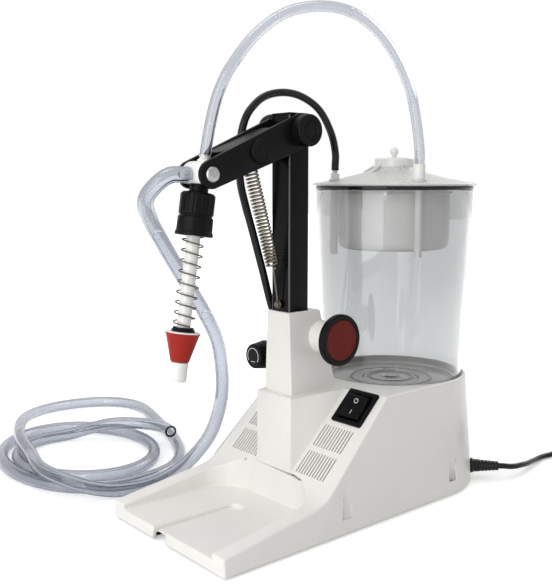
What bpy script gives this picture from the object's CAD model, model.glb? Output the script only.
"""Surfaces, finishes and studio of an electric bottle filler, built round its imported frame."""

import math

import bmesh
import bpy
import numpy as np
from bpy.props import FloatProperty, FloatVectorProperty, IntProperty, PointerProperty
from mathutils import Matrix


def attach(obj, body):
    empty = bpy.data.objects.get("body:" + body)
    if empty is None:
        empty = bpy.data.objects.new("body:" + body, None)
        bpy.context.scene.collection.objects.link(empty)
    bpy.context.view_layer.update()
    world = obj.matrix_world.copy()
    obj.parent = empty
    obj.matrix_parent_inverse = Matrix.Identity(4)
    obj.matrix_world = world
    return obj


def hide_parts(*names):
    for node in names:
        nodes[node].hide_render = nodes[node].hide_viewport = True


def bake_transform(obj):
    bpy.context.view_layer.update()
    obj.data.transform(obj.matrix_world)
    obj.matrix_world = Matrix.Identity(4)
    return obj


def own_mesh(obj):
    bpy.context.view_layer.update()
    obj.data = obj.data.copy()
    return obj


bl_info = {
    "name": "Bottle Filler",
    "version": (1, 0, 0),
    "blender": (4, 5, 0),
    "location": "View3D > Sidebar > Bottle Filler",
    "description": "Builds the surfaces, finishes and studio of an electric bottle filler",
    "category": "Object",
}

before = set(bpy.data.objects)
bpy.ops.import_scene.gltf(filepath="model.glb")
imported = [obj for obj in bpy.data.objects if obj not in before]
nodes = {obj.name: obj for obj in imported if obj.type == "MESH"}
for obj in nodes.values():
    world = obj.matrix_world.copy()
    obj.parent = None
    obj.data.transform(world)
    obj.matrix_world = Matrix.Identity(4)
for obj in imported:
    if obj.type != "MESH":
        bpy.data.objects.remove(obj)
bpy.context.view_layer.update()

MM = 0.001

# Places and sizes of the frame, in millimetres and degrees
JAR = np.array([0, 107.5, 0])
MAST = np.array([0, -45.5, 0])
MAST_HALF_X, MAST_HALF_Y, MAST_CORNER, MAST_WALL = 13.5, 13, 1.8, 2.5
MAST_FOOT, MAST_TOP = 15, 399.5
PIVOT = MAST + [0, 0, 384.5]
ARM_ANGLE = 21.4
ARM_LENGTH = 117
BOLT_DISTANCE = 58
PLATE_IN, PLATE_OUT = 14, 19
NOZZLE_LEAN = 8.6
PANEL_ANGLE = 44.2
PANEL_FOOT = np.array([0, -66.8, 49.6])
SWITCH_X, SWITCH_UP, SWITCH_HALF, SWITCH_CORNER = 55.252, 85.238, 20, 2.2
CLAMP_FACE = np.array([36.6, -19.4, 179])
REGULATOR = np.array([-39.5, -44.5, 155])
ANCHOR = np.array([0, -61.3, 214.0])
TENSION_OUTER, NOZZLE_SPRING_OUTER = 14, 21
FITTING_R, VACUUM_ANGLE, OVERFLOW_ANGLE = 72, 251, -27.5
GLAND_ANGLE, GLAND_REACH, GLAND_Z = 45, 91.456, 13
HOSE_BORE_R, OVERFLOW_BORE_R, VACUUM_BORE_R = 4.9, 3.5, 2.4
HOSE_COIL = np.array([-283.0, -134.0, 7.5])
CORD_COIL = np.array([134, 362, 3.25])

# Floor of the studio, in metres
FLOOR_HALF, FLOOR_Z = 6, -0.0004


def turn_x(points, degrees):
    """Points turned about the X axis by the right-hand rule."""
    c, s = math.cos(math.radians(degrees)), math.sin(math.radians(degrees))
    return np.asarray(points, float) @ np.array([[1, 0, 0], [0, c, -s], [0, s, c]]).T


def turn_z(points, degrees):
    """Points turned about the Z axis by the right-hand rule."""
    c, s = math.cos(math.radians(degrees)), math.sin(math.radians(degrees))
    return np.asarray(points, float) @ np.array([[c, -s, 0], [s, c, 0], [0, 0, 1]]).T


def along_arm(distance):
    """Point on the arm's middle line at a distance from its pivot."""
    return PIVOT + turn_x([0, -distance, 0], ARM_ANGLE)


PIN = along_arm(ARM_LENGTH)
BOLT = along_arm(BOLT_DISTANCE)


def at_nozzle(points):
    """Points of the nozzle's own frame, with the pin at the origin and the tip down -Z."""
    return turn_x(points, -NOZZLE_LEAN) + PIN


def on_switch(points):
    """Points of the switch's frame on the right control panel: X across, Y up the slope, Z out of it."""
    foot = PANEL_FOOT + [SWITCH_X, 0, 0] + SWITCH_UP * turn_x([0, 1, 0], PANEL_ANGLE)
    return turn_x(points, PANEL_ANGLE) + foot


def on_jar(points):
    """Points moved to the jar's axis."""
    return points + JAR


def facing_x(points):
    """Points turned so that +Z becomes +X."""
    return np.asarray(points, float)[:, [2, 0, 1]]


def across_at(place):
    """Rule that lays a part's Z axis along +X and puts it at a place."""
    return lambda points: facing_x(points) + place


def front_at(place):
    """Rule that lays a part's Z axis along -Y and puts it at a place."""
    return lambda points: turn_x(points, 90) + place


def unit(v):
    return v / np.linalg.norm(v, axis=-1, keepdims=True)


def ease(t):
    """Smooth step: 3 t^2 - 2 t^3, held at 0 and 1 outside."""
    c = np.clip(t, 0, 1)
    return c * c * (3 - 2 * c)


def within(values, low, high):
    return (values > low) & (values < high)


def around(count):
    """Evenly spaced angles of a full turn."""
    return np.linspace(0, 2 * np.pi, count, endpoint=False)


def fillet(corners, radius, steps=5, closed=False):
    """Polyline with its corners rounded: each is a parabola that leaves its two sides at the radius from the
    corner, or at 45 % of a shorter side: (1 - t)^2 a + 2 t (1 - t) corner + t^2 b."""
    p = np.asarray(corners, float)
    r = np.broadcast_to(np.asarray(radius, float), len(p))
    before, after = np.roll(p, 1, 0) - p, np.roll(p, -1, 0) - p
    back, ahead = np.linalg.norm(before, axis=1), np.linalg.norm(after, axis=1)
    reach = np.minimum(r, 0.45 * np.minimum(back, ahead))[:, None]
    a = p + before / back[:, None] * reach
    b = p + after / ahead[:, None] * reach
    t = np.linspace(0, 1, steps + 1)[:, None]
    bend = (1 - t) ** 2 * a[:, None] + 2 * t * (1 - t) * p[:, None] + t**2 * b[:, None]
    if closed:
        return bend.reshape(-1, p.shape[1])
    return np.concatenate([p[:1], bend[1:-1].reshape(-1, p.shape[1]), p[-1:]])


def quads(rows, cols, wrap_rows=False):
    """Faces of a grid of points, row by row, whose columns close to a ring."""
    i = np.arange(rows if wrap_rows else rows - 1)[:, None]
    j = np.arange(cols)[None]
    i2, j2 = (i + 1) % rows, (j + 1) % cols
    return np.stack([i * cols + j, i * cols + j2, i2 * cols + j2, i2 * cols + j], -1).reshape(-1, 4).tolist()


def capped(rows, cols):
    """Faces of a grid of points whose columns close to a ring, with its first and last rows filled."""
    return quads(rows, cols) + [list(range(cols))[::-1], list(range((rows - 1) * cols, rows * cols))]


def turned(profile, count, loop=False):
    """A profile of (radius, height) carried round the Z axis: x = r cos a, y = r sin a, z = h. It runs from
    axis to axis, or is a closed loop."""
    p = np.asarray(profile, float)
    a = around(count)
    r = p[:, :1]
    points = np.stack([r * np.cos(a), r * np.sin(a), np.repeat(p[:, 1:], count, 1)], -1)
    return points.reshape(-1, 3), quads(len(p), count, loop)


def moved(part, place):
    """The part with its points put in place by a function."""
    return place(part[0]), part[1]


def shifted(part, by):
    return part[0] + np.asarray(by, float), part[1]


def spun(corners, rounding, count, place=None, loop=False, steps=5):
    """Turned part whose profile has rounded corners, put in place by a function."""
    part = turned(fillet(corners, rounding, steps, loop), count, loop)
    return moved(part, place) if place else part


def grooved(profile, count, depth, loop=False):
    """Turned part whose radius is drawn in, at each height and angle, to r (1 - depth)."""
    points, faces = turned(profile, count, loop)
    grid = points.reshape(len(profile), count, 3)
    grid[..., :2] *= (1 - depth)[..., None]
    return grid.reshape(-1, 3), faces


def outward(outline):
    """Unit normals of a closed outline that runs anticlockwise."""
    way = np.roll(outline, -1, 0) - np.roll(outline, 1, 0)
    return unit(np.stack([way[:, 1], -way[:, 0]], -1))


def prism(outline, low, high, edge, steps=4):
    """A closed outline carried from low to high along Z. Near both ends it is drawn in by e (1 - sin a) at
    the height e (1 - cos a), which rounds the edges."""
    p = np.asarray(outline, float)
    a = np.linspace(0, np.pi / 2, steps + 1)
    inset = edge * (1 - np.sin(a))
    rise = edge * (1 - np.cos(a))
    inset = np.concatenate([inset, inset[::-1]])[:, None, None]
    height = np.concatenate([low + rise, high - rise[::-1]])
    flat = p[None] - inset * outward(p)[None]
    points = np.concatenate([flat, np.broadcast_to(height[:, None, None], (*flat.shape[:2], 1))], -1)
    return points.reshape(-1, 3), capped(len(height), len(p))


def framed(profile, half_x, half_y, corner, steps=6):
    """A closed profile of (set-in, height) carried round a rounded rectangle: the corner's radius shrinks
    with the set-in, so that the frame keeps its width."""
    p = np.asarray(profile, float)
    a = np.linspace(0, np.pi / 2, steps + 1)
    c, s = np.cos(a), np.sin(a)
    turns = np.stack([np.stack(pair, -1) for pair in ((c, s), (-s, c), (-c, -s), (s, -c))])
    signs = np.array([[1, 1], [-1, 1], [-1, -1], [1, -1]])[:, None]
    inset = p[:, 0][:, None, None, None]
    radius = np.maximum(corner - inset, 0.05)
    centre = signs * (np.array([half_x, half_y]) - inset - radius)
    ring = (centre + radius * turns[None]).reshape(len(p), -1, 2)
    points = np.concatenate([ring, np.broadcast_to(p[:, 1][:, None, None], (*ring.shape[:2], 1))], -1)
    return points.reshape(-1, 3), quads(len(p), ring.shape[1], True)


def rounded_box(half_x, half_y, corner):
    """Outline of a rectangle with round corners, anticlockwise."""
    corners = [[-half_x, -half_y], [half_x, -half_y], [half_x, half_y], [-half_x, half_y]]
    return fillet(corners, corner, closed=True)


def hull_outline(centres, radii, count=160):
    """Outline of the tight band round some circles: in each direction, the point of the circle that reaches
    furthest that way."""
    a = around(count)
    way = np.stack([np.cos(a), np.sin(a)], -1)
    c, r = np.asarray(centres, float), np.asarray(radii, float)
    k = np.argmax(way @ c.T + r, axis=1)
    return c[k] + r[k][:, None] * way


def smooth(points, steps):
    """Smooth curve through some points: a Catmull-Rom cubic between each two."""
    p = np.asarray(points, float)
    q = np.concatenate([2 * p[:1] - p[1:2], p, 2 * p[-1:] - p[-2:-1]])
    a, b, c, d = q[:-3, None], q[1:-2, None], q[2:-1, None], q[3:, None]
    t = (np.arange(steps) / steps)[:, None]
    curve = 0.5 * (2 * b + (c - a) * t + (2 * a - 5 * b + 4 * c - d) * t**2 + (3 * b - a - 3 * c + d) * t**3)
    return np.concatenate([curve.reshape(-1, 3), p[-1:]])


def length_along(path):
    """Distance of each point of a path from its start."""
    return np.concatenate([[0], np.cumsum(np.linalg.norm(np.diff(path, axis=0), axis=1))])


def stations(path, start, end, step):
    """Points of a path from one distance along it to another, evenly spaced."""
    s = length_along(path)
    at = np.linspace(start, end, max(int(round((end - start) / step)), 4) + 1)
    return np.stack([np.interp(at, s, path[:, k]) for k in range(3)], -1)


def sides_of(path):
    """Two unit vectors square to a path at each of its points, carried along it without twist."""
    along = unit(np.gradient(path, axis=0))
    u = [unit(np.cross(along[0], [0, 0, 1] if abs(along[0][2]) < 0.9 else [1, 0, 0]))]
    for t in along[1:]:
        u.append(unit(u[-1] - (u[-1] @ t) * t))
    u = np.array(u)
    return u, np.cross(along, u)


def tube(path, radius, bore, sides):
    """A ring carried along a path: centre + r (cos a u + sin a v). With a bore, the outer wall, the far end,
    the inner wall and the near end make one closed loop; without, both ends are capped."""
    u, v = sides_of(path)
    a = around(sides)[:, None]
    ring = np.cos(a) * u[:, None] + np.sin(a) * v[:, None]
    wall = path[:, None] + radius * ring
    n = len(path)
    if bore:
        inner = path[:, None] + bore * ring
        return np.concatenate([wall, inner[::-1]]).reshape(-1, 3), quads(2 * n, sides, True)
    return wall.reshape(-1, 3), capped(n, sides)


def add_node(tree, kind, inputs=None, **settings):
    """New shader node with its settings. Each input is given a constant, or the socket that feeds it."""
    made = tree.nodes.new(f"ShaderNode{kind}")
    for key, value in settings.items():
        setattr(made, key, value)
    for key, value in (inputs or {}).items():
        if isinstance(value, bpy.types.NodeSocket):
            tree.links.new(value, made.inputs[key])
        else:
            made.inputs[key].default_value = value
    return made


def skin_group(name, scale, texture):
    """Shader node group that takes a grain scale, and gives the height and the mask of a texture. It is made
    once."""
    if name in bpy.data.node_groups:
        return bpy.data.node_groups[name]
    tree = bpy.data.node_groups.new(name, "ShaderNodeTree")
    kind = "NodeSocketFloat"
    tree.interface.new_socket("Scale", in_out="INPUT", socket_type=kind).default_value = scale
    for label in ("Height", "Mask"):
        tree.interface.new_socket(label, in_out="OUTPUT", socket_type=kind)
    place = add_node(tree, "TexCoord").outputs["Object"]
    height, mask = texture(tree, place, tree.nodes.new("NodeGroupInput").outputs["Scale"])
    out = tree.nodes.new("NodeGroupOutput")
    tree.links.new(height, out.inputs["Height"])
    tree.links.new(mask, out.inputs["Mask"])
    return tree


def mould_grain(tree, place, grain):
    """The fine skin of a moulded or painted surface as a height, and a broad mask of handling."""
    fine = add_node(tree, "TexNoise", {"Vector": place, "Scale": grain, "Detail": 3.0})
    pits = add_node(tree, "TexVoronoi", {"Vector": place, "Scale": grain})
    both = add_node(
        tree, "Math", {0: pits.outputs["Distance"], 1: 0.4, 2: fine.outputs["Fac"]}, operation="MULTIPLY_ADD"
    )
    broad = add_node(tree, "TexNoise", {"Vector": place, "Scale": 17.0, "Detail": 5.0, "Roughness": 0.62})
    spread = add_node(tree, "MapRange", {"Value": broad.outputs["Fac"], "From Min": 0.36, "From Max": 0.66})
    return both.outputs["Value"], spread.outputs["Result"]


def drawn_lines(tree, place, grain):
    """The fine lines of drawn wire or turned metal as a height and a mask."""
    lines = add_node(tree, "TexNoise", {"Vector": place, "Scale": grain, "Detail": 6.0, "Roughness": 0.7})
    spread = add_node(tree, "MapRange", {"Value": lines.outputs["Fac"], "From Min": 0.35, "From Max": 0.68})
    return lines.outputs["Fac"], spread.outputs["Result"]


# Finish of each material slot: roughness range, grain scale, grain depth in millimetres, tone of the handled
# parts, and what its shader needs besides. Absorb is the colour and density of a clear wall.
CLEAR = dict(grain=60, depth=0.004, tone=0.985, transmission=1.0, ior=1.49, specular=0.35)
FINISHES = {
    "white_plastic": dict(rough=(0.28, 0.38), grain=1500, depth=0.012, tone=0.97),
    "milky_plastic": dict(rough=(0.2, 0.3), grain=1100, depth=0.01, tone=0.97, subsurface=0.15),
    "frosted_plastic": dict(rough=(0.24, 0.34), grain=900, depth=0.01, tone=0.96, subsurface=0.2),
    "black_plastic": dict(rough=(0.3, 0.44), grain=1700, depth=0.012, tone=1.5, specular=0.09),
    "black_mast": dict(rough=(0.16, 0.24), grain=420, depth=0.004, tone=1.4, specular=0.09),
    "worn_edge": dict(rough=(0.1, 0.2), grain=420, depth=0.003, tone=1.2, specular=0.8),
    "red_disc": dict(rough=(0.3, 0.42), grain=1500, depth=0.015, tone=0.82, specular=0.1),
    "red_silicone": dict(rough=(0.38, 0.5), grain=900, depth=0.02, tone=0.86, specular=0.12),
    "black_rubber": dict(rough=(0.06, 0.12), grain=900, depth=0.008, tone=1.5, specular=0.24),
    "clear_jar": dict(CLEAR, rough=(0.0, 0.012), clear=0.97),
    "clear_floor": dict(CLEAR, rough=(0.0, 0.02), clear=0.98),
    "clear_hose": dict(
        rough=(0.02, 0.05), grain=120, depth=0.0015, tone=0.985, transmission=1.0, ior=1.42, clear=0.8,
        absorb=((0.36, 0.385, 0.46), 185),
    ),
    "spring_steel": dict(rough=(0.2, 0.34), grain=1200, depth=0.01, tone=0.75, metallic=1.0, lines=True),
    "dark_wire": dict(rough=(0.24, 0.38), grain=1200, depth=0.01, tone=0.7, metallic=1.0, lines=True),
    "zinc_steel": dict(rough=(0.22, 0.36), grain=1500, depth=0.012, tone=0.82, metallic=1.0, lines=True),
    "valve_metal": dict(rough=(0.36, 0.5), grain=1100, depth=0.03, tone=0.88, metallic=1.0),
    "pale_rubber": dict(rough=(0.4, 0.52), grain=900, depth=0.02, tone=0.95, subsurface=0.1),
    "mark_paint": dict(rough=(0.4, 0.5), grain=1500, depth=0.008, tone=0.93),
    "plated_brass": dict(rough=(0.2, 0.32), grain=1500, depth=0.008, tone=0.86, metallic=1.0, lines=True),
}


def finish(key):
    """Material of a finish: its tone drifts with handling, its roughness follows the same mask and the grain
    is a bump. It is made once."""
    label = f"{key}_finish"
    if label in bpy.data.materials:
        return bpy.data.materials[label]
    facts = FINISHES[key]
    base = tuple(getattr(bpy.context.scene.filler_colours, key))
    material = bpy.data.materials.new(label)
    material.use_nodes = True
    tree = material.node_tree
    link = tree.links.new
    shader, out = tree.nodes["Principled BSDF"], tree.nodes["Material Output"]
    for socket, value in {
        "Metallic": facts.get("metallic", 0.0),
        "Specular IOR Level": facts.get("specular", 0.5),
        "IOR": facts.get("ior", 1.48),
        "Transmission Weight": facts.get("transmission", 0.0),
        "Subsurface Weight": facts.get("subsurface", 0.0),
        "Subsurface Radius": (1.0, 0.9, 0.8),
        "Subsurface Scale": 0.003,
    }.items():
        shader.inputs[socket].default_value = value
    skin = add_node(tree, "Group")
    if facts.get("lines"):
        skin.node_tree = skin_group("Drawn Lines", 400.0, drawn_lines)
    else:
        skin.node_tree = skin_group("Mould Grain", 900.0, mould_grain)
    skin.inputs["Scale"].default_value = facts["grain"]
    mask = skin.outputs["Mask"]
    handled = tuple(min(c * facts["tone"], 1.0) for c in base)
    tone = add_node(tree, "Mix", {"Factor": mask, "A": (*base, 1.0), "B": (*handled, 1.0)}, data_type="RGBA")
    link(tone.outputs["Result"], shader.inputs["Base Color"])
    low, high = facts["rough"]
    gloss = add_node(tree, "MapRange", {"Value": mask, "To Min": low, "To Max": high})
    link(gloss.outputs["Result"], shader.inputs["Roughness"])
    bump = add_node(
        tree, "Bump", {"Strength": 0.6, "Distance": facts["depth"] * MM, "Height": skin.outputs["Height"]}
    )
    link(bump.outputs["Normal"], shader.inputs["Normal"])
    if "clear" in facts:
        lit = let_light_through(tree, shader.outputs["BSDF"], facts["clear"])
        link(lit, out.inputs["Surface"])
    if "absorb" in facts:
        tint, density = facts["absorb"]
        wall = add_node(tree, "VolumeAbsorption", {"Color": (*tint, 1.0), "Density": density})
        link(wall.outputs["Volume"], out.inputs["Volume"])
    return material


def let_light_through(tree, surface, share):
    """Lets light fall through a clear wall onto what is behind it, in place of the wall's full shadow."""
    path = add_node(tree, "LightPath")
    thin = add_node(tree, "BsdfTransparent", {"Color": (share, share, share, 1)})
    mix = add_node(
        tree, "MixShader", {"Fac": path.outputs["Is Shadow Ray"], 1: surface, 2: thin.outputs["BSDF"]}
    )
    return mix.outputs["Shader"]


def dress(**finishes):
    """Gives the CAD nodes that stay their materials."""
    for node, key in finishes.items():
        materials = nodes[node].data.materials
        materials.clear()
        materials.append(finish(key))


def placed(name, data):
    """New object of the scene."""
    obj = bpy.data.objects.new(name, data)
    bpy.context.scene.collection.objects.link(obj)
    return obj


def seat(obj, body, stands_for=()):
    """Puts a finished piece on its body and the CAD nodes that it stands for."""
    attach(obj, body)
    if stands_for:
        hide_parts(*stands_for)
    return obj


def solid(name, parts, finish_key, sharp=38):
    """Object made of one or more (points, faces) parts in millimetres: doubles merged, faces turned outwards,
    smooth except at sharp edges."""
    points, faces, count = [], [], 0
    for part_points, part_faces in parts:
        points.append(np.asarray(part_points, float))
        faces += [[i + count for i in face] for face in part_faces]
        count += len(part_points)
    mesh = bpy.data.meshes.new(name)
    mesh.from_pydata(np.concatenate(points) * MM, [], faces)
    work = bmesh.new()
    work.from_mesh(mesh)
    bmesh.ops.remove_doubles(work, verts=work.verts, dist=2e-6)
    bmesh.ops.dissolve_degenerate(work, edges=work.edges, dist=1e-6)
    bmesh.ops.recalc_face_normals(work, faces=work.faces)
    work.to_mesh(mesh)
    work.free()
    mesh.shade_smooth()
    mesh.set_sharp_from_angle(angle=math.radians(sharp))
    mesh.materials.append(finish(finish_key))
    return placed(name, mesh)


def add(name, parts, body, slot, stands_for=(), finish_key=None, sharp=38):
    """Piece on a body, made of parts."""
    return seat(solid(name, parts, finish_key or slot, sharp), body, stands_for)


def softened(node, name, width, keep, slot):
    """Copy of a CAD node of the base with rounded corners: doubles merged, flat faces joined, and each edge
    given the share of the bevel's width that keep says."""
    mesh = nodes[node].data.copy()
    mesh.name = name
    work = bmesh.new()
    work.from_mesh(mesh)
    bmesh.ops.remove_doubles(work, verts=work.verts, dist=3e-6)
    bmesh.ops.dissolve_limit(work, angle_limit=math.radians(0.4), verts=work.verts, edges=work.edges)
    weight = work.edges.layers.float.new("bevel_weight_edge")
    edges = [e for e in work.edges if len(e.link_faces) == 2]
    ends = np.array([[v.co for v in e.verts] for e in edges], float) / MM
    bend = np.degrees([e.calc_face_angle_signed() for e in edges])
    for e, share in zip(edges, keep(ends.mean(1), bend)):
        e[weight] = float(share)
    work.to_mesh(mesh)
    work.free()
    mesh.shade_smooth()
    mesh.set_sharp_from_angle(angle=math.radians(30))
    mesh.materials.clear()
    mesh.materials.append(finish(slot))
    obj = placed(name, mesh)
    bevel = obj.modifiers.new("Rounded edges", "BEVEL")
    bevel.limit_method = "WEIGHT"
    bevel.width = width
    bevel.segments = 3
    bevel.use_clamp_overlap = False
    bevel.harden_normals = True
    return seat(obj, "base", [node])


def shell_edges(mid, bend):
    """How far each edge of the housing is rounded, from its middle and its bend, as a share of the edge
    radius: the convex edges of its outer skin, less at the thin rim of the jar's seat, and the tray's inner
    corners. The grilles, the switch's cut-out and the mast's hole stay sharp."""
    half_width, wall_lean = 92.5, math.tan(math.radians(4.15))
    top, front = 124, -200
    lip, lip_slope = 19, math.tan(math.radians(8))
    tray_floor, tray_half, column_half = 13.5, 73.4, 26.5
    x, y, z = np.abs(mid[:, 0]), mid[:, 1], mid[:, 2]
    from_jar = np.hypot(x, y - JAR[1])
    reach = np.where(y > JAR[1], from_jar, x)
    c, s = math.cos(math.radians(PANEL_ANGLE)), math.sin(math.radians(PANEL_ANGLE))
    up = (y - PANEL_FOOT[1]) * c + (z - PANEL_FOOT[2]) * s
    out = (z - PANEL_FOOT[2]) * c - (y - PANEL_FOOT[1]) * s
    skin = (reach > half_width - z * wall_lean - 0.5) | (z > top - 0.5) | (y < front + 0.5)
    skin |= (np.abs(z - lip - (y - front) * lip_slope) < 0.5) & (y < -60)
    skin |= (z > tray_floor - 0.3) & (y < -67.5) & (x < 74)
    skin |= (np.abs(x - column_half) < 0.3) & (z > 14) & (y < -60)
    grille = within(x, 29, 74) & within(up, 0.5, 62) & within(out, -12, 12)
    cut = within(x, 36, 75) & (up > 60) & within(out, -14, 14) & (z < top - 1)
    hole = (x < 14.2) & within(y, -59.5, -31.5) & (z > 20)
    weight = np.where(skin & ~grille & ~cut & ~hole & (bend > 20), 1.0, 0.0)
    weight[(from_jar < 80) & (z > 100) & (weight > 0)] = 0.6
    tray = (np.abs(z - tray_floor) < 0.2) & (x < tray_half) & (y < -69.5) & (bend < -30)
    return np.where(tray, 1.0, weight)


def clamp_edges(mid, bend):
    """Rounds the clamp block's outer corners, but not its slit, its mast hole or its foot."""
    x, y, z = np.abs(mid[:, 0]), mid[:, 1], mid[:, 2]
    hole = (x < 14.2) & within(y, -59.5, -31)
    slit = (x < 1.2) & (y > -46)
    return (bend > 20) & ~hole & ~slit & (z > 124.3)


def convex_edges(mid, bend):
    """Rounds every convex edge."""
    return bend > 30


def second_finish(obj, key, field, choose):
    """Gives a second finish to the faces that a rule picks by a field of theirs, such as their normal."""
    faces = obj.data.polygons
    values = np.empty(3 * len(faces))
    faces.foreach_get(field, values)
    obj.data.materials.append(finish(key))
    faces.foreach_set("material_index", choose(values.reshape(-1, 3)).astype(np.int32))


def length(name, what, value):
    return FloatProperty(name=name, description=what, default=value, unit="LENGTH")


def number(name, what, value):
    return IntProperty(name=name, description=what, default=value)


def colour(name, what, value):
    return FloatVectorProperty(name=name, description=what, subtype="COLOR", min=0, max=1, default=value)


class FillerSizes(bpy.types.PropertyGroup):
    """Sizes that a user would change."""

    hose_diameter: length("Wine hose", "Outer diameter of the wine hose", 0.015)
    overflow_diameter: length("Overflow tube", "Outer diameter of the overflow tube", 0.0105)
    vacuum_diameter: length("Vacuum tube", "Outer diameter of the vacuum tube", 0.008)
    cord_diameter: length("Mains cord", "Diameter of the mains cord", 0.0065)
    tension_wire: length("Tension spring wire", "Wire of the tension spring", 0.0019)
    nozzle_wire: length("Nozzle spring wire", "Wire of the nozzle spring", 0.0014)
    tension_turns: number("Tension spring turns", "Turns of the tension spring", 28)
    nozzle_turns: number("Nozzle spring turns", "Turns of the nozzle spring", 10)
    shell_edge: length("Housing edge", "Radius of the housing's moulded edges", 0.0022)


class FillerColours(bpy.types.PropertyGroup):
    """Colours of the finishes."""

    white_plastic: colour("Housing", "Moulded white plastic", (0.84, 0.825, 0.79))
    frosted_plastic: colour("Lid", "Frosted plastic of the lid", (0.64, 0.64, 0.62))
    milky_plastic: colour("Nozzle and cup", "Milky plastic", (0.82, 0.815, 0.79))
    black_plastic: colour("Black plastic", "Moulded black plastic", (0.004, 0.004, 0.0045))
    black_mast: colour("Mast", "Black painted metal", (0.0025, 0.0025, 0.003))
    worn_edge: colour("Mast corners", "Black paint polished by handling", (0.006, 0.006, 0.0065))
    red_disc: colour("Knob disc", "Red disc of the clamp knob", (0.14, 0.012, 0.008))
    red_silicone: colour("Cone", "Red silicone of the cone seal", (0.36, 0.024, 0.018))
    black_rubber: colour("Rubber", "Black rubber and cord", (0.005, 0.005, 0.0055))
    clear_jar: colour("Jar", "Clear plastic of the jar", (0.58, 0.585, 0.59))
    clear_floor: colour("Jar floor", "Clear floor of the jar", (0.95, 0.95, 0.95))
    clear_hose: colour("Hoses", "Clear hose", (0.93, 0.94, 0.96))
    spring_steel: colour("Springs", "Spring wire", (0.22, 0.19, 0.14))
    dark_wire: colour("Nozzle spring", "Darker spring wire", (0.13, 0.11, 0.085))
    zinc_steel: colour("Steel", "Zinc plated steel", (0.36, 0.36, 0.37))
    valve_metal: colour("Valve", "Cast valve body", (0.50, 0.50, 0.51))
    pale_rubber: colour("Seat pad", "Pale rubber under the jar", (0.62, 0.61, 0.59))
    mark_paint: colour("Marks", "Printed marks", (0.62, 0.62, 0.62))
    plated_brass: colour("Plug pins", "Plated plug pins", (0.72, 0.66, 0.52))


class FILLER_OT_housing(bpy.types.Operator):
    """Housing with rounded edges, feet, seat pad and what is under the base"""

    bl_idname = "filler.housing"
    bl_label = "Housing"

    def execute(self, context):
        edge = context.scene.filler_sizes.shell_edge
        softened("housing", "housing_shell", edge, shell_edges, "white_plastic")
        foot = spun([[0, 0.15], [6.2, 0.15], [6.8, 0], [8.9, 0], [10, 3], [0, 3]], 0.5, 48)
        places = [(70.5, -176), (-70.5, -176), (52.5, 152.5), (-52.5, 152.5)]
        add("feet", [shifted(foot, [x, y, 0]) for x, y in places], "base", "black_rubber", ["rubber_feet"])
        ring = [[69.2, 0], [76.8, 0], [77, 1.5], [75, 1.5], [74.4, 1.2], [71.6, 1.2], [71, 1.5], [69, 1.5]]
        pad = shifted(spun(ring, 0.3, 128, on_jar, loop=True), [0, 0, 110.5])
        add("jar_seat_pad", [pad], "base", "pale_rubber", ["seat_pad"])
        dress(base_plate="black_plastic", housing_screws="zinc_steel")
        return {"FINISHED"}


class FILLER_OT_works(bpy.types.Operator):
    """Pump with its hose, and what else is inside the base"""

    bl_idname = "filler.works"
    bl_label = "Works"

    def execute(self, context):
        dress(
            mast_guide="black_plastic", pump_motor="zinc_steel", pump_head="black_plastic",
            pump_mounts="black_rubber", exhaust_muffler="black_plastic", terminal_block="white_plastic",
            mast_stop="black_plastic",
        )
        path = smooth(INNER_ROUTE, 5)
        hose = add("inner_hose", [tube(path, 4, 2.5, 16)], "base", "black_rubber", ["pump_hose"])
        return {"FINISHED"}


class FILLER_OT_clamp(bpy.types.Operator):
    """Clamp block, its knob with the red disc, stud, washer and nut"""

    bl_idname = "filler.clamp"
    bl_label = "Clamp"

    def execute(self, context):
        softened("mast_clamp_block", "clamp_block", 0.0012, clamp_edges, "white_plastic")
        on_face = across_at(CLAMP_FACE)
        knob = [
            [4, 0], [15, 0], [18, 0.4], [18.2, 3.6], [22, 4.2], [25.4, 4.6], [26, 6], [26, 10.6], [25.2, 12],
            [21.6, 12], [20.6, 11.4], [20.55, 10.5], [4, 10.5],
        ]
        add("clamp_knob_rim", [spun(knob, 0.8, 128, on_face, loop=True)], "clamp_knob", "black_plastic",
            ["clamp_knob"])
        disc = [
            [0, 10.55], [20.4, 10.55], [20.4, 11.7], [19.6, 11.8], [17.4, 11.75], [16.8, 11.35], [5.2, 11.25],
            [4.6, 11.6], [0, 11.7],
        ]
        add("clamp_knob_disc", [spun(disc, 0.35, 96, on_face)], "clamp_knob", "red_disc", ["clamp_badge"])
        washer = [[4.1, -1.2], [12, -1.2], [12, 0], [4.1, 0]]
        add("knob_washer", [spun(washer, 0.25, 64, on_face, loop=True)], "clamp_washer", "zinc_steel",
            ["clamp_washer"])
        dress(clamp_stud="zinc_steel", clamp_nut="zinc_steel")
        return {"FINISHED"}


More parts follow.
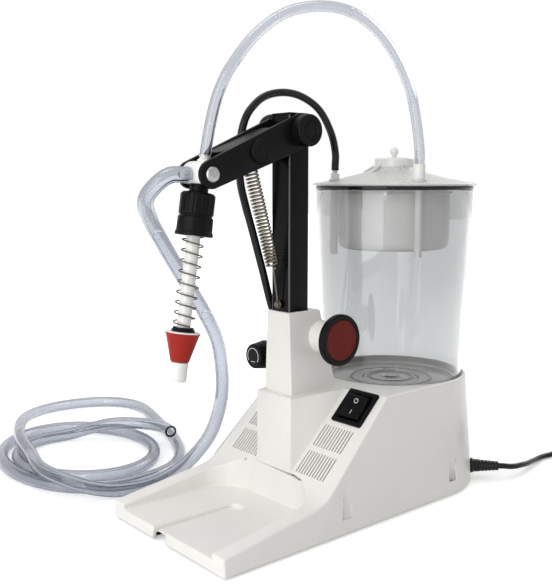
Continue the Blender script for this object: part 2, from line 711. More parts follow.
class FILLER_OT_regulator(bpy.types.Operator):
    """Vacuum regulator: valve body and its knob with a scale"""

    bl_idname = "filler.regulator"
    bl_label = "Regulator"

    def execute(self, context):
        softened("regulator_valve", "valve_body", 0.0008, convex_edges, "valve_metal")
        count, flutes, outer = 144, 18, 15
        profile = fillet(
            [[0, 0], [14.2, 0], [outer, 0.8], [14.6, 4.5], [12.9, 16.4], [11.6, 17.5], [0, 17.2]], 0.9
        )
        flute = 0.35 * (0.5 + 0.5 * np.cos(flutes * around(count))) ** 3
        span = ease((profile[:, 1] - 4) / 2) * ease((16 - profile[:, 1]) / 1.5)
        grip = grooved(profile, count, span[:, None] * flute / outer)
        shaft = spun([[0, -13], [3, -13], [3, 0.5], [0, 0.5]], 0.4, 40)
        on_valve = front_at(REGULATOR)
        add("regulator_knob_body", [moved(part, on_valve) for part in (grip, shaft)], "regulator_knob",
            "black_plastic", ["regulator_knob"])
        bow = np.radians(np.linspace(-35, 215, 60))
        line = np.stack([8.6 * np.cos(bow), 8.6 * np.sin(bow), np.full(60, 17.42)], -1)
        bar = np.linspace([-3.2, -5.6, 17.36], [3.2, -5.6, 17.36], 12)
        marks = [moved(tube(path, 0.42, 0, 8), on_valve) for path in (line, bar)]
        add("regulator_scale", marks, "regulator_knob", "black_plastic", finish_key="mark_paint")
        return {"FINISHED"}


class FILLER_OT_switch(bpy.types.Operator):
    """Mains switch: bezel and marked rocker"""

    bl_idname = "filler.switch"
    bl_label = "Switch"

    def execute(self, context):
        bezel = [
            [0, 0], [0, 2.2], [0.9, 3], [3.6, 3], [4.4, 2.4], [5.6, 0.4], [6, -1], [6, -9], [5, -9],
            [5, -0.05],
        ]
        well = [[5, -9], [5, -24], [19.5, -24], [19.5, -8.6], [6, -8.6]]
        loops = [fillet(bezel, 0.5, closed=True), fillet(well, 0.3, closed=True)]
        parts = [moved(framed(loop, SWITCH_HALF, SWITCH_HALF, SWITCH_CORNER), on_switch) for loop in loops]
        add("switch_frame", parts, "base", "black_plastic", ["switch_bezel"])
        half, dip, crown = 11.6, 2.6, 1.6
        outline = fillet(
            [[-10.5, -6.5], [10.5, -6.5], [13.4, 1.8], [half, dip + crown], [0, dip], [-half, dip + crown],
             [-13.4, 1.8]], [1, 1, 1.6, 1.6, 3, 1.6, 1.6], closed=True)
        paddle = moved(prism(outline, -13.4, 13.4, 0.7), facing_x)
        add("rocker", [moved(paddle, self.tipped)], "switch_rocker", "black_plastic", ["switch_rocker"])
        tilt = math.degrees(math.atan2(crown, half))
        ring = spun([[1.9, -0.3], [2.7, -0.3], [2.7, 0.12], [1.9, 0.12]], 0.1, 40, loop=True)
        bar = prism(rounded_box(0.4, 2.4, 0.2), -0.3, 0.12, 0.1)
        marks = []
        for mark, y, lean in ((ring, 6.2, tilt), (bar, -6.2, -tilt)):
            leant = moved(mark, lambda points: turn_x(points, lean))
            on_face = shifted(leant, [0, y, dip + 0.02 + abs(y) * crown / half])
            marks.append(moved(on_face, self.tipped))
        add("rocker_marks", marks, "switch_rocker", "black_plastic", finish_key="mark_paint")
        return {"FINISHED"}

    @staticmethod
    def tipped(points):
        """Points of the rocker's frame, as it is tipped at rest."""
        return on_switch(turn_x(points, 7) + [0, 0, 1])


class FILLER_OT_mast(bpy.types.Operator):
    """Mast tube and its cap"""

    bl_idname = "filler.mast"
    bl_label = "Mast"

    def execute(self, context):
        profile = [[0, MAST_FOOT], [0, MAST_TOP], [MAST_WALL, MAST_TOP], [MAST_WALL, MAST_FOOT]]
        wall = framed(profile, MAST_HALF_X, MAST_HALF_Y, MAST_CORNER)
        mast = add("mast_tube", [shifted(wall, MAST)], "mast", "black_mast", ["mast"])
        second_finish(mast, "worn_edge", "normal", lambda normals: np.abs(normals).max(1) < 0.97)
        top = prism(rounded_box(MAST_HALF_X, MAST_HALF_Y, MAST_CORNER), MAST_TOP, 402, 0.8)
        stub = prism(rounded_box(10.6, 10.1, 1.0), 394.5, 399.6, 0.3)
        add("mast_top_cap", [shifted(top, MAST), shifted(stub, MAST)], "mast", "black_plastic", ["mast_cap"])
        return {"FINISHED"}


class FILLER_OT_arm(bpy.types.Operator):
    """Arm with its two plates, web, bolts and pin"""

    bl_idname = "filler.arm"
    bl_label = "Arm"

    def execute(self, context):
        outline = hull_outline([PIVOT[1:], BOLT[1:], PIN[1:]], [17, 15.5, 13])
        near = moved(prism(outline, PLATE_IN, PLATE_OUT, 1.1), facing_x)
        far = moved(prism(outline, -PLATE_OUT, -PLATE_IN, 1.1), facing_x)
        add("arm_frame", [near, far, self.web()], "arm", "black_plastic", ["arm"])
        cap = [
            [0, 18.5], [15.2, 18.5], [15.5, 20], [15.5, 29], [14.6, 30.5], [10.6, 30.5], [9.6, 29.6],
            [9, 28.5], [6.4, 28.5], [6.0, 29.3], [0, 29.6],
        ]
        drum = [[0, 18.5], [18.4, 18.5], [18.4, 29], [17.4, 30.5], [0, 30.5]]
        far_hub = spun(drum, 0.9, 96, lambda points: facing_x(points) * [-1, 1, 1] + PIVOT)
        covers = [spun(cap, 0.8, 96, across_at(PIVOT)), far_hub]
        add("hub_cover", covers, "arm", "black_plastic", ["hub_cap"])
        bolt = [
            [0, 18.4], [11.5, 18.4], [11.5, 20.6], [10.6, 22], [8.4, 22], [7.8, 21.2], [5.4, 21.2],
            [4.8, 21.9], [0, 22.1],
        ]
        shank = [[0, -20.2], [6.4, -20.2], [7, -19.6], [7, -19], [3, -19], [3, 18.6], [0, 18.6]]
        on_bolt = across_at(BOLT)
        add("spring_bolt_head", [spun(bolt, 0.5, 64, on_bolt), spun(shank, 0.3, 64, on_bolt)], "arm",
            "black_plastic", ["spring_bolt"])
        pin = [[0, 18.4], [7.4, 18.4], [7.4, 19.6], [6.2, 21.2], [3, 21.75], [0, 21.6]]
        stem = [[0, -20.2], [5.6, -20.2], [6, -19.8], [6, -19], [4, -19], [4, 18.6], [0, 18.6]]
        on_pin = across_at(PIN)
        add("nozzle_pin_head", [spun(pin, 0.9, 64, on_pin), spun(stem, 0.3, 64, on_pin)], "arm", "zinc_steel",
            ["nozzle_pin"])
        dress(arm_pivot_bolt="zinc_steel")
        return {"FINISHED"}

    @staticmethod
    def web():
        """Web between the plates: a flat bar under their upper edges."""
        bar = fillet([[-95, 9.5], [-27, 9.5], [-27, 13.5], [-95, 13.5]], 0.8, closed=True)
        points, faces = prism(bar, -PLATE_IN - 0.2, PLATE_IN + 0.2, 0.2)
        return turn_x(facing_x(points), ARM_ANGLE) + PIVOT, faces


class FILLER_OT_springs(bpy.types.Operator):
    """Tension spring with its link, and the nozzle spring"""

    bl_idname = "filler.springs"
    bl_label = "Springs"

    def execute(self, context):
        sizes = context.scene.filler_sizes
        low, high = np.array([0, -67.7, 251.0]), BOLT + [0, 2.9, -15.2]
        self.tension(low, high, sizes.tension_wire / MM, sizes.tension_turns)
        self.link(low - 2 * unit(high - low))
        self.compression(sizes.nozzle_wire / MM, sizes.nozzle_turns)
        return {"FINISHED"}

    @staticmethod
    def tension(low, high, wire, turns):
        """Tension spring: coils about the line from low to high, centre + r (cos a u + sin a v), with a leg
        at each end and a hook round the bolt."""
        way = unit(high - low)
        side, across = np.array([1, 0, 0]), np.array([0, way[2], -way[1]])
        r = (TENSION_OUTER - wire) / 2
        span = float(np.linalg.norm(high - low))
        t = np.linspace(0.5 / turns, 1 - 0.5 / turns, (turns - 1) * 18 + 1)
        a = 2 * np.pi * turns * t
        coil = low + np.outer(1.5 + (span - 3) * t, way)
        coil = coil + np.outer(r * np.cos(a), side) + np.outer(r * np.sin(a), across)
        tail = low + np.outer([-1.5, 0.3], way) + np.outer([0, r * 0.55], side)
        lead = low + np.outer([span - 0.3, span + 3], way) + np.outer([-r * 0.55, 0], side)
        shank_r, gap = 3, 0.4
        hook_r = shank_r + gap + wire / 2
        to_bolt = unit(BOLT - high)
        bow = math.atan2(to_bolt[2], to_bolt[1]) + np.radians(np.arange(-60, 201, 20))
        hook = BOLT - hook_r * np.stack([np.zeros(len(bow)), np.cos(bow), np.sin(bow)], -1)
        start = smooth(np.concatenate([tail, coil[:1]]), 4)
        end = smooth(np.concatenate([coil[-1:], lead, hook]), 4)
        path = np.concatenate([start[:-1], coil[:-1], end])
        spring = solid("tension_spring_coil", [tube(path, wire / 2, 0, 10)], "spring_steel")
        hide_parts("tension_spring")
        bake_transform(spring)

    @staticmethod
    def link(top):
        """Wire link from the anchor's screw up to the tension spring, and that screw."""
        lean = unit(top - ANCHOR)
        bow = np.radians(np.linspace(40, 400, 40))
        eye = ANCHOR + 3.4 * np.stack([np.cos(bow), np.zeros(len(bow)), np.sin(bow)], -1)
        rod = np.linspace(ANCHOR + 3.6 * lean, top, 12)
        add("spring_link_rod", [tube(eye, 1, 0, 10), tube(rod, 1, 0, 10)], "mast", "spring_steel",
            ["spring_link"], "dark_wire")
        screw = [[0, -8], [1.9, -8], [1.9, 4.2], [3.2, 4.2], [3.2, 5.2], [2.4, 5.9], [0, 5.9]]
        seat_y = MAST[1] - MAST_HALF_Y
        add("anchor_screw", [spun(screw, 0.3, 32, front_at([0, seat_y, ANCHOR[2]]))], "mast", "zinc_steel",
            ["spring_anchor"], "dark_wire")

    @staticmethod
    def compression(wire, turns):
        """Nozzle spring: a helix round the filling tube, closer at both ends, that the cone presses up."""
        r = (NOZZLE_SPRING_OUTER - wire) / 2
        top, low = -45.3, -138.4
        t = np.linspace(0, 1, turns * 24 + 1)
        a = 2 * np.pi * turns * t
        rise = top + (low - top) * (0.93 * t + 0.07 * ease(t))
        path = at_nozzle(np.stack([r * np.cos(a), r * np.sin(a), rise], -1))
        spring = add("nozzle_spring_coil", [tube(path, wire / 2, 0, 10)], "nozzle", "spring_steel",
                     ["nozzle_spring"], "dark_wire")
        up = turn_x([0, 0, 1], -NOZZLE_LEAN)
        tuple(at_nozzle([0, 0, top]) * MM)
        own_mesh(spring)


class FILLER_OT_nozzle(bpy.types.Operator):
    """Nozzle: tee, collar, tube, washer, cone and tip"""

    bl_idname = "filler.nozzle"
    bl_label = "Nozzle"

    def execute(self, context):
        drum = [[0, -13.4], [11.6, -13.4], [12.5, -12.6], [12.5, 12.6], [11.6, 13.4], [0, 13.4]]
        points, faces = spun(drum, 0.6, 96, facing_x)
        points[:, 2] = np.maximum(points[:, 2], -9.0)
        barb = [[0, 0], [5.6, 0], [5.6, 12.6], [4.6, 13.4], [4.2, 21], [0, 21]]
        spigot = [[0, 0], [6.6, 8], [6.2, 13.4], [4.6, 14.6], [3.45, 18.5], [0, 18.5]]
        branch = spun(spigot, 0.7, 48, lambda p: at_nozzle(turn_x(p, NOZZLE_LEAN - 10) + [0, 2, 0]))
        tee = [(at_nozzle(points), faces), spun(barb, 0.5, 48, front_at(PIN)), branch]
        add("tee_drum", tee, "nozzle", "milky_plastic", ["tee_body"])
        pipe = [[5, -6], [6.5, -6], [6.5, -186], [5, -186]]
        self.ring("filling_tube", pipe, 0.3, 48, "nozzle", "milky_plastic", ["nozzle_tube"])
        tip = [
            [5, -190], [7.2, -190], [7.9, -189.3], [8.3, -184], [8.3, -172.6], [7.9, -172], [6.5, -172],
            [6.5, -186], [5, -186],
        ]
        self.ring("filling_tip", tip, 0.5, 64, "nozzle", "milky_plastic", ["nozzle_tip"])
        collar = moved(self.collar(), at_nozzle)
        add("collar_bell", [collar], "collar", "black_plastic", ["collar_nut"], sharp=50)
        cone = [
            [6.8, -171.7], [8.4, -171.7], [8.9, -170.6], [15.4, -146.9], [16.4, -145.6], [16.4, -145],
            [6.8, -145],
        ]
        self.ring("cone_stopper", cone, 0.8, 96, "cone", "red_silicone", ["cone_seal"])
        top = [[6.8, -145.05], [16.3, -145.05], [16.6, -144.4], [15.9, -143.7], [6.8, -143.7]]
        self.ring("cone_top_ring", top, 0.5, 96, "cone", "milky_plastic")
        washer = [
            [6.8, -143.65], [10.9, -143.65], [10.9, -141.8], [9.9, -141.6], [9.9, -139.8], [6.8, -139.8],
        ]
        self.ring("spring_washer", washer, 0.4, 64, "cone", "black_plastic", ["cone_washer"])
        return {"FINISHED"}

    @staticmethod
    def ring(name, corners, rounding, count, body, slot, stands_for=()):
        """Hollow turned piece on the nozzle's axis."""
        add(name, [spun(corners, rounding, count, at_nozzle, loop=True)], body, slot, stands_for)

    @staticmethod
    def collar():
        """Collar: a turned bell whose upper part is drawn in along its grooves, with a band and a flange."""
        profile = fillet(
            [[6.85, -9.3], [8.7, -9.3], [8.7, -15.6], [14.2, -16.6], [16, -18.6], [16, -36.4], [15.1, -37],
             [15.1, -38.4], [16.3, -39], [16.6, -51.6], [17.5, -52.8], [17.5, -55.4], [16.9, -56],
             [11.5, -56], [11.5, -44], [6.85, -44]], 0.6, closed=True)
        count, grooves, depth = 192, 16, 0.055
        groove = np.clip(np.cos(grooves * around(count)) - 0.55, 0, None) / 0.45
        r, h = profile[:, 0], profile[:, 1]
        span = ease((-h - 16.8) / 1.5) * ease((36.2 + h) / 0.8) * (r > 13)
        return grooved(profile, count, depth * span[:, None] * groove, loop=True)


class FILLER_OT_jar(bpy.types.Operator):
    """Clear jar with a thick rim and moulded rings in its floor"""

    bl_idname = "filler.jar"
    bl_label = "Jar"

    def execute(self, context):
        profile = [
            [0, 113.2], [30, 113.2], [32, 112], [76, 112], [78, 114], [85.7, 325.6], [86, 327], [82.8, 327],
            [82.6, 325.5], [74.8, 119], [71.8, 116], [46, 116], [45.2, 116.7], [43.6, 116.7], [42.8, 116],
            [26, 116], [25.2, 116.8], [23.6, 116.8], [22.8, 116], [10, 116], [8, 117.5], [0, 117.5],
        ]
        floor_top = 118.5 * MM
        jar = add("vacuum_jar", [spun(profile, 1.1, 160, on_jar, steps=4)], "jar", "clear_jar", ["jar"])
        second_finish(jar, "clear_floor", "center", lambda centres: centres[:, 2] < floor_top)
        return {"FINISHED"}


def at_fitting(corners, rounding, angle):
    """Turned part on the lid at an angle round the jar's axis."""
    a = math.radians(angle)
    return shifted(spun(corners, rounding, 48, on_jar), [FITTING_R * math.cos(a), FITTING_R * math.sin(a), 0])


class FILLER_OT_lid(bpy.types.Operator):
    """Lid, gasket, filter cup, fittings and cap"""

    bl_idname = "filler.lid"
    bl_label = "Lid"

    def execute(self, context):
        seal = [[81.8, 327], [86.2, 327], [86.6, 329], [86.2, 331], [81.8, 331]]
        add("lid_seal", [spun(seal, 0.8, 160, on_jar, loop=True)], "lid", "black_rubber", ["lid_gasket"])
        cone = [
            [8.3, 346], [21.5, 346], [61.8, 336.4], [61.8, 323], [64.3, 323], [64.3, 331], [86.6, 331],
            [89.6, 332.4], [89.8, 333.1], [88.8, 333.8], [60, 339], [36, 345], [26, 348.4], [23.4, 349.4],
            [22.4, 351.2], [8.3, 351.2],
        ]
        gusset = self.gusset()
        ribs = [moved(gusset, lambda p, k=k: on_jar(turn_z(p, 30 + 60 * k))) for k in range(6)]
        pads = [at_fitting([[0, 333], [r, 333], [r, 337.6], [r - 0.8, 338.6], [0, 338.6]], 0.6, angle)
                for angle, r in ((VACUUM_ANGLE, 6.4), (OVERFLOW_ANGLE, 8))]
        crown = spun(cone, 1.0, 160, on_jar, loop=True, steps=4)
        add("lid_cone", [crown, *pads, *ribs], "lid", "milky_plastic", ["lid"], "frosted_plastic")
        cup = [
            [0, 262], [53.5, 262], [58.5, 264], [60.7, 269], [61.5, 274], [61.5, 333], [59.1, 333],
            [59.1, 274], [55.5, 266.4], [51.5, 264.4], [0, 264.4],
        ]
        add("filter_bowl", [spun(cup, 2.0, 128, on_jar)], "lid", "milky_plastic", ["filter_cup"])
        self.fittings()
        cap = fillet(
            [[0, 351.3], [21.2, 351.3], [21.5, 351.6], [21.5, 359.8], [20.6, 361.2], [10, 362], [4.4, 362.4],
             [2.8, 363], [2.6, 364.4]], 0.8)
        ball_r, ball_z = 4.8, 368.4
        a = np.radians(np.linspace(-57, 90, 20))
        ball = np.stack([ball_r * np.cos(a), ball_z + ball_r * np.sin(a)], -1)
        turret = moved(turned(np.concatenate([cap, ball]), 96), on_jar)
        stem = spun([[0, 344], [8, 344], [8, 352], [0, 352]], 0.4, 48, on_jar)
        add("lid_turret", [turret, stem], "lid_cap", "milky_plastic", ["lid_cap"])
        return {"FINISHED"}

    @staticmethod
    def gusset():
        """Small radial fin at the foot of the lid's crown."""
        outline = fillet([[22, 344.8], [36, 343.2], [34.5, 346.6], [23, 353.6]], 0.5, closed=True)
        points, faces = prism(outline, -0.9, 0.9, 0.35)
        return points[:, [0, 2, 1]] * [1, -1, 1], faces

    @staticmethod
    def fittings():
        """Barbed fittings of the two tubes, with the pipes that hang from them inside the jar."""
        pipe = [[0, 258], [3.9, 258], [3.9, 336]]
        slim = [[4.7, 338], [4.7, 343.4], [4.1, 344.4], [3.2, 345], [2.4, 347], [2.2, 352.5], [0, 352.5]]
        stout = [[6.2, 337], [6.2, 352.6], [5.9, 353.4], [5.3, 353.4], [5.3, 349], [0, 349]]
        for name, angle, node, slot, barb in (
            ("vacuum_nipple", VACUUM_ANGLE, "vacuum_fitting", "black_plastic", slim),
            ("overflow_nipple", OVERFLOW_ANGLE, "overflow_fitting", "milky_plastic", stout),
        ):
            add(name, [at_fitting(pipe + barb, 0.4, angle)], "lid", slot, [node], "milky_plastic")


# Routes of the hoses and the cord, as the solids have them, in millimetres
INNER_ROUTE = [
    [-8, -23.0, 120.7], [-8, -22, 108], [-6, -18, 97], [-2, -4, 90], [6, 16, 88], [18, 40, 91],
    [34, 63.5, 94], [41, 83.5, 92], [42, 94.5, 84], [42, 97.5, 76], [42, 97.5, 61],
]
WINE_ROUTE = [
    [0, -168.2, 341.81], [0, -175.73, 341.81], [0, -188.73, 340.81], [-6, -199, 332], [-19, -201, 319],
    [-34, -188, 302], [-48, -166, 279], [-60, -142, 253], [-71, -118, 227], [-81, -93, 198], [-91, -70, 165],
    [-102, -56, 130], [-113, -48, 98], [-118, -51, 72], [-121, -59, 52], [-124, -72, 36], [-128, -88, 22],
    [-132, -107, 12], [-132, -128, 7.5], [-133, -152, 7.5], [-141, -178, 9.5], [-157, -202, 16],
    [-184, -217, 22], [-222, -219, 23.3], [-272, -206, 23.3], [-328, -192, 23.3], [-369, -177, 23.3],
    [-405, -158, 22.8], [-437, -135, 19.5], [-464, -108, 15.5], [-483, -78, 12], [-492, -46, 9.5],
    [-489, -13, 8], [-472, 14, 7.5], [-444, 29, 7.5], [-408, 30, 7.5], [-370, 20, 7.5], [-322, 4, 7.5],
    [-271, -12, 7.5], [-215, -38, 7.5], [-180, -63, 7.5], [-161, -88, 7.5],
]
OVERFLOW_ROUTE = [
    [0, -149.6, 357.0], [0.5, -148.4, 363.5], [1, -147, 372], [2, -144, 388], [4, -139, 409], [7, -133, 426],
    [10, -124, 442], [15, -102, 469], [22, -72, 491], [32, -39, 500], [41, -6, 498], [49, 21, 484],
    [56, 43, 460], [61, 61, 427], [63, 70, 393], [63.87, 74.25, 366.7], [63.87, 74.25, 352.7],
    [63.87, 74.25, 347.5],
]
VACUUM_ROUTE = [
    [-23.44, 39.42, 347.5], [-23.44, 39.42, 352.7], [-23.44, 39.42, 366.7], [-27, 36, 388], [-31, 23, 410.5],
    [-34.5, 2.5, 423], [-36, -21.5, 426.5], [-36, -47, 421.5], [-36, -65, 409], [-36, -75.5, 393],
    [-36, -81.5, 365.5], [-35, -81, 336], [-33.5, -76.5, 314], [-31, -69, 286], [-29, -57.5, 245.5],
    [-28, -46.5, 208], [-28, -39, 197], [-29, -34, 188], [-29, -34, 181.3], [-29, -34, 174],
]
CORD_ROUTE = [
    [87.66, 195.16, 13], [92.66, 200.16, 13], [96, 206, 12], [98, 215, 11], [98, 226, 10], [96, 240, 8],
    [92, 256, 6], [88, 273, 4], [86, 290, 3.25], [88, 307, 3.25], [87, 325, 3.25],
]


def hose_coil():
    """Coil of the wine hose on the floor: an oval that shrinks as it winds in, clockwise from above, and is
    turned a little. Its end climbs over the turns."""
    sweep, tail, climb, turned_by = 645, 65, 15.8, -8
    a = np.concatenate([np.arange(-15, sweep, 5.0), [sweep]])
    out = 42 * ease((a - sweep + tail) / tail)
    rx, ry = 133 - 36 * a / 360 + out, 97 - 16.8 * a / 360 + out
    rise = climb * ease((a - sweep + tail + 40) / 60)
    oval = np.stack([rx * np.cos(np.radians(a)), -ry * np.sin(np.radians(a)), rise], -1)
    return turn_z(oval, turned_by) + HOSE_COIL


def cord_coil():
    """Coil of the mains cord: it spirals in on the floor, climbs a layer and spirals out again."""
    outer, step, inner, turns = 48, 7.0, 3.25, 6.5
    t = np.linspace(0, turns, int(turns * 36) + 1)
    r = np.where(t < inner, outer - step * t, outer - step * (2 * inner - t))
    a = np.pi - 2 * np.pi * t
    return np.stack([r * np.cos(a), r * np.sin(a), step * ease((t - inner + 0.25) / 0.5)], -1) + CORD_COIL


def tube_chain(name, path, diameter, bore, bodies, cuts, slot, stands_for, step):
    """A free tube that crosses several joints, as one piece for each: every piece bends from one body to the
    next between its ends, and leaves the piece before it. The last may lie on one body alone."""
    marks = [0.0, *cuts, float(length_along(path)[-1])]
    for k, (start, end) in enumerate(zip(marks[:-1], marks[1:])):
        line = stations(path, start, end, step)
        obj = solid(f"{name}_{k + 1}", [tube(line, diameter / 2, bore, 24)], slot)
        if k == 0:
            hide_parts(*stands_for)
        if k < len(bodies) - 1:
            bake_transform(obj)
        else:
            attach(obj, bodies[k])


class FILLER_OT_wine_hose(bpy.types.Operator):
    """Wine hose from the tee to its open end on the floor"""

    bl_idname = "filler.wine_hose"
    bl_label = "Wine Hose"

    def execute(self, context):
        d = context.scene.filler_sizes.hose_diameter / MM
        coil = hose_coil()
        lead = coil[0] - 15 * unit(coil[1] - coil[0])
        path = np.concatenate([smooth([*WINE_ROUTE, lead, coil[0]], 8)[:-1], coil])
        tube_chain(
            "wine_hose", path, d, HOSE_BORE_R, bodies=["nozzle", "arm", "mast", "base"], cuts=[105, 230, 420],
            slot="clear_hose", stands_for=["wine_hose", "wine_hose_coil"],
            step=4.0,
        )
        return {"FINISHED"}


class FILLER_OT_overflow_tube(bpy.types.Operator):
    """Overflow tube from the tee to the lid"""

    bl_idname = "filler.overflow_tube"
    bl_label = "Overflow Tube"

    def execute(self, context):
        d = context.scene.filler_sizes.overflow_diameter / MM
        tube_chain(
            "overflow_tube", smooth(OVERFLOW_ROUTE, 8), d, OVERFLOW_BORE_R,
            bodies=["nozzle", "arm", "mast", "base", "jar", "lid"], cuts=[64, 155, 235, 310],
            slot="clear_hose", stands_for=["overflow_tube"],
            step=3.0,
        )
        return {"FINISHED"}


class FILLER_OT_vacuum_tube(bpy.types.Operator):
    """Vacuum tube from the lid to the regulator"""

    bl_idname = "filler.vacuum_tube"
    bl_label = "Vacuum Tube"

    def execute(self, context):
        d = context.scene.filler_sizes.vacuum_diameter / MM
        path = smooth(VACUUM_ROUTE, 8)
        cut = float(length_along(path)[-1]) * 0.45
        tube_chain(
            "vacuum_tube", path, d, VACUUM_BORE_R, bodies=["lid", "jar", "base"], cuts=[cut],
            slot="black_rubber", stands_for=["vacuum_tube"],
            step=3.0,
        )
        return {"FINISHED"}


class FILLER_OT_mains_cord(bpy.types.Operator):
    """Mains cord with its gland, coil, tie and plug"""

    bl_idname = "filler.mains_cord"
    bl_label = "Mains Cord"

    def execute(self, context):
        d = context.scene.filler_sizes.cord_diameter / MM
        add("cord_sleeve", [self.gland()], "base", "black_rubber", ["cord_gland"])
        coil = cord_coil()
        way = unit(coil[1] - coil[0])
        tail = coil[-1] + np.array([[0, -14, -1.5], [0, -30, -4], [0, -46, -4]])
        route = smooth([*CORD_ROUTE, coil[0] - 19.5 * way, coil[0]], 6)[:-1]
        inside = turn_z([2, 0, 0], GLAND_ANGLE)
        path = np.concatenate([[route[0] - inside], route, coil[:-1], smooth([coil[-1], *tail], 5)])
        plug = self.plug(tail[-1])
        tie = self.tie()
        cord = add("mains_lead", [tube(path, d / 2, 0, 14)], "base", "black_rubber",
                   ["power_cord", "power_cord_coil"])
        return {"FINISHED"}

    @staticmethod
    def gland():
        """Strain relief: a flange and a tapering sleeve with five shallow grooves."""
        first, last, wide, slim, pitch = 4.2, 32, 7.4, 5.2, 4
        s = np.linspace(first, last, 90)
        taper = wide + (slim - wide) * (s - first) / (last - first)
        wave = (0.5 - 0.5 * np.cos(2 * np.pi * (s - 11) / pitch)) ** 2
        ripple = 0.55 * ease((s - 11) / 2) * ease((31 - s) / 2) * wave
        sleeve = np.stack([taper - ripple, s], -1)
        flange = [[0, -7], [6.5, -7], [6.5, 0.9], [8.5, 0.9], [8.5, 3.3], [7.7, 3.9], [wide, first]]
        foot = fillet(flange, 0.5)
        end = fillet([[slim, last], [4.8, 32.6], [3.3, 32.6], [0, 32.6]], 0.3)
        points, faces = turned(np.concatenate([foot[:-1], sleeve, end[1:]]), 48)
        lying = turn_z(facing_x(points) + [GLAND_REACH, 0, 0], GLAND_ANGLE)
        return on_jar(lying) + [0, 0, GLAND_Z], faces

    @staticmethod
    def plug(at):
        """Flat two-pin plug: sections that widen from the cord to the face, x = w |cos a|^p and
        z = h |sin a|^p with their signs, and its pins."""
        s = np.array([0, 1, 6, 13, 16, 20, 30, 35, 37.5, 42, 43.6, 44.2])
        wide = np.array([3.4, 4.2, 4.6, 5.8, 7.4, 8.2, 9, 13.5, 16.8, 17.4, 16.9, 15.5])
        high = np.array([3.4, 4.2, 4.5, 5.4, 5.9, 6.15, 6.2, 6.2, 6.2, 6.2, 5.8, 4.6])
        rows, cols = 60, 48
        fine = np.linspace(0, s[-1], rows)[:, None]
        w, h = np.interp(fine, s, wide), np.interp(fine, s, high)
        power = np.interp(fine, [0, 13, 30, 44], [1.0, 0.85, 0.6, 0.55])
        c, d = np.cos(around(cols)), np.sin(around(cols))
        x = w * np.sign(c) * np.abs(c) ** power
        z = h * np.sign(d) * np.abs(d) ** power
        points = np.stack([x, np.repeat(-fine, cols, 1), z], -1).reshape(-1, 3)
        body = add("plug_body", [(points + at, capped(rows, cols))], "base", "black_plastic", ["power_plug"])
        pin = [[0, 43.8], [2, 43.8], [2, 61.6], [1.2, 62.8], [0, 63]]
        pins = add("plug_pins", [spun(pin, 0.5, 24, front_at(at + [x, 0, 0])) for x in (-9.5, 9.5)], "base",
                   "zinc_steel", finish_key="plated_brass")
        return [body, pins]

    @staticmethod
    def tie():
        """Band over the coil's turns: a flat strip carried over them from floor to floor."""
        line = fillet([[21.1, 0.2], [21.1, 14.4], [50.4, 14.4], [50.4, 0.2]], 3.0, 8)
        way = unit(np.gradient(line, axis=0))
        side = np.stack([-way[:, 1], way[:, 0]], -1)
        loop = np.concatenate([line + 0.5 * side, (line - 0.5 * side)[::-1]])
        points, faces = prism(loop, -4.5, 4.5, 0.15, 2)
        return add("coil_tie", [(facing_x(points) + CORD_COIL * [1, 1, 0], faces)], "base", "black_plastic",
                   ["cord_tie"], "black_rubber")


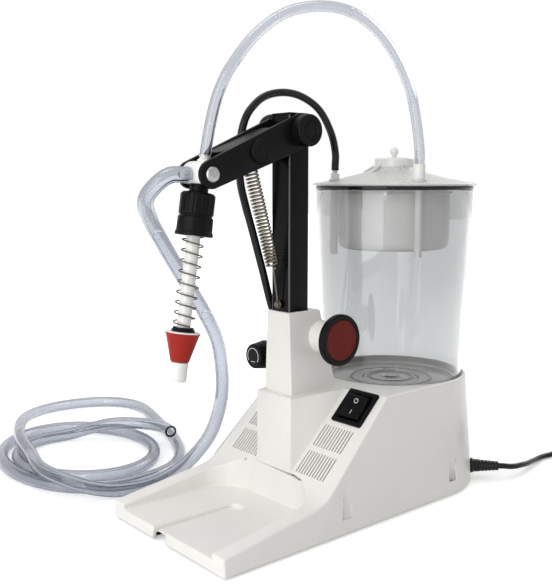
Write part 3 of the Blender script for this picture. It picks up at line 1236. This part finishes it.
class FILLER_OT_studio(bpy.types.Operator):
    """Pale floor, soft light and the camera"""

    bl_idname = "filler.studio"
    bl_label = "Studio"

    def execute(self, context):
        scene = context.scene
        scene.view_settings.view_transform = "Standard"
        self.floor()
        self.world(scene)
        for name, place, aim, size, power in (
            ("Key", (0.2, -1.0, 0.6), (0.2, 0, 0.55), (0.8, 1.12), 6.4),
            ("Strip", (0.78, -1.25, 0.75), (0, 0.02, 0.25), (0.12, 1.3), 2.4),
            ("Top", (-0.3, -0.2, 1.9), (0, 0, 0.1), (1.4, 1.4), 7.5),
            ("Back", (-0.15, 1.25, 1.0), (0, 0.1, 0.12), (0.7, 0.7), 4.0),
        ):
            light = bpy.data.lights.new(name, "AREA")
            light.shape = "RECTANGLE"
            light.size, light.size_y = size
            light.energy = power
            lamp = placed(name, light)
            lamp.location = place
            x, y, z = np.array(aim) - np.array(place)
            lamp.rotation_euler = (math.atan2(math.hypot(x, y), -z), 0, math.atan2(-x, y))
            lamp.visible_camera = False
        lens = bpy.data.cameras.new("Camera")
        lens.lens = 52.607
        lens.sensor_width = 36
        lens.clip_end = 20
        camera = placed("Camera", lens)
        camera.location = (0.6406, -0.6104, 0.3355)
        camera.rotation_euler = (math.radians(90 - 7.363), 0, math.radians(49.544))
        scene.camera = camera
        return {"FINISHED"}

    @staticmethod
    def floor():
        """Wide pale floor: it takes shadows near the object, and what the camera, glass or metal sees of it
        is lifted to white, fully so further away."""
        mesh = bpy.data.meshes.new("Floor")
        corners = [(-1, -1), (1, -1), (1, 1), (-1, 1)]
        mesh.from_pydata([(x * FLOOR_HALF, y * FLOOR_HALF, FLOOR_Z) for x, y in corners], [], [(0, 1, 2, 3)])
        floor = placed("Floor", mesh)
        material = bpy.data.materials.new("floor_white")
        material.use_nodes = True
        tree = material.node_tree
        tree.nodes.clear()
        matt = add_node(tree, "BsdfDiffuse", {"Color": (0.86, 0.86, 0.86, 1)})
        place = add_node(tree, "TexCoord").outputs["Object"]
        away = add_node(tree, "VectorMath", {0: place}, operation="LENGTH").outputs["Value"]
        fade = add_node(
            tree, "MapRange", interpolation_type="SMOOTHSTEP",
            inputs={"Value": away, "From Min": 0.3, "From Max": 0.75, "To Min": 0.42, "To Max": 1.0},
        )
        lift = add_node(tree, "Math", {0: seen_rays(tree), 1: fade.outputs["Result"]}, operation="MULTIPLY")
        plain = add_node(tree, "Emission", {"Color": (1, 1, 1, 1), "Strength": lift.outputs["Value"]})
        both = add_node(tree, "AddShader", {0: matt.outputs["BSDF"], 1: plain.outputs["Emission"]})
        add_node(tree, "OutputMaterial", {"Surface": both.outputs["Shader"]})
        mesh.materials.append(material)

    @staticmethod
    def world(scene):
        """Even soft light, white where the camera, glass or metal sees it."""
        world = bpy.data.worlds.new("Studio")
        scene.world = world
        world.use_nodes = True
        tree = world.node_tree
        tree.nodes.clear()
        level = add_node(tree, "MapRange", {"Value": seen_rays(tree), "To Min": 0.45, "To Max": 1.0})
        light = add_node(tree, "Background", {"Color": (1, 1, 1, 1), "Strength": level.outputs["Result"]})
        add_node(tree, "OutputWorld", {"Surface": light.outputs["Background"]})


def seen_rays(tree):
    """Socket that is 1 for rays from the camera, through glass or off gloss, and 0 for the rest."""
    rays = add_node(tree, "LightPath").outputs
    seen = rays["Is Camera Ray"]
    for label in ("Is Transmission Ray", "Is Glossy Ray"):
        seen = add_node(tree, "Math", {0: seen, 1: rays[label]}, operation="MAXIMUM").outputs["Value"]
    return seen


OPERATORS = (
    FILLER_OT_housing, FILLER_OT_works, FILLER_OT_clamp, FILLER_OT_regulator, FILLER_OT_switch,
    FILLER_OT_mast, FILLER_OT_arm, FILLER_OT_springs, FILLER_OT_nozzle, FILLER_OT_jar, FILLER_OT_lid,
    FILLER_OT_wine_hose, FILLER_OT_overflow_tube, FILLER_OT_vacuum_tube, FILLER_OT_mains_cord,
    FILLER_OT_studio,
)


class FILLER_PT_panel(bpy.types.Panel):
    """Lists the pieces of the bottle filler"""

    bl_idname = "FILLER_PT_panel"
    bl_label = "Bottle Filler"
    bl_space_type = "VIEW_3D"
    bl_region_type = "UI"
    bl_category = "Bottle Filler"

    def draw(self, context):
        for operator in OPERATORS:
            self.layout.operator(operator.bl_idname)


CLASSES = (FillerSizes, FillerColours, *OPERATORS, FILLER_PT_panel)


def register():
    for cls in CLASSES:
        bpy.utils.register_class(cls)
    bpy.types.Scene.filler_sizes = PointerProperty(type=FillerSizes)
    bpy.types.Scene.filler_colours = PointerProperty(type=FillerColours)


def unregister():
    del bpy.types.Scene.filler_colours
    del bpy.types.Scene.filler_sizes
    for cls in reversed(CLASSES):
        bpy.utils.unregister_class(cls)


def main():
    """Registers the classes, runs the operators in order and writes the boxes of the frame and the finished
    model."""
    register()
    for operator in OPERATORS:
        section, name = operator.bl_idname.split(".")
        getattr(getattr(bpy.ops, section), name)()


if __name__ == "__main__":
    main()
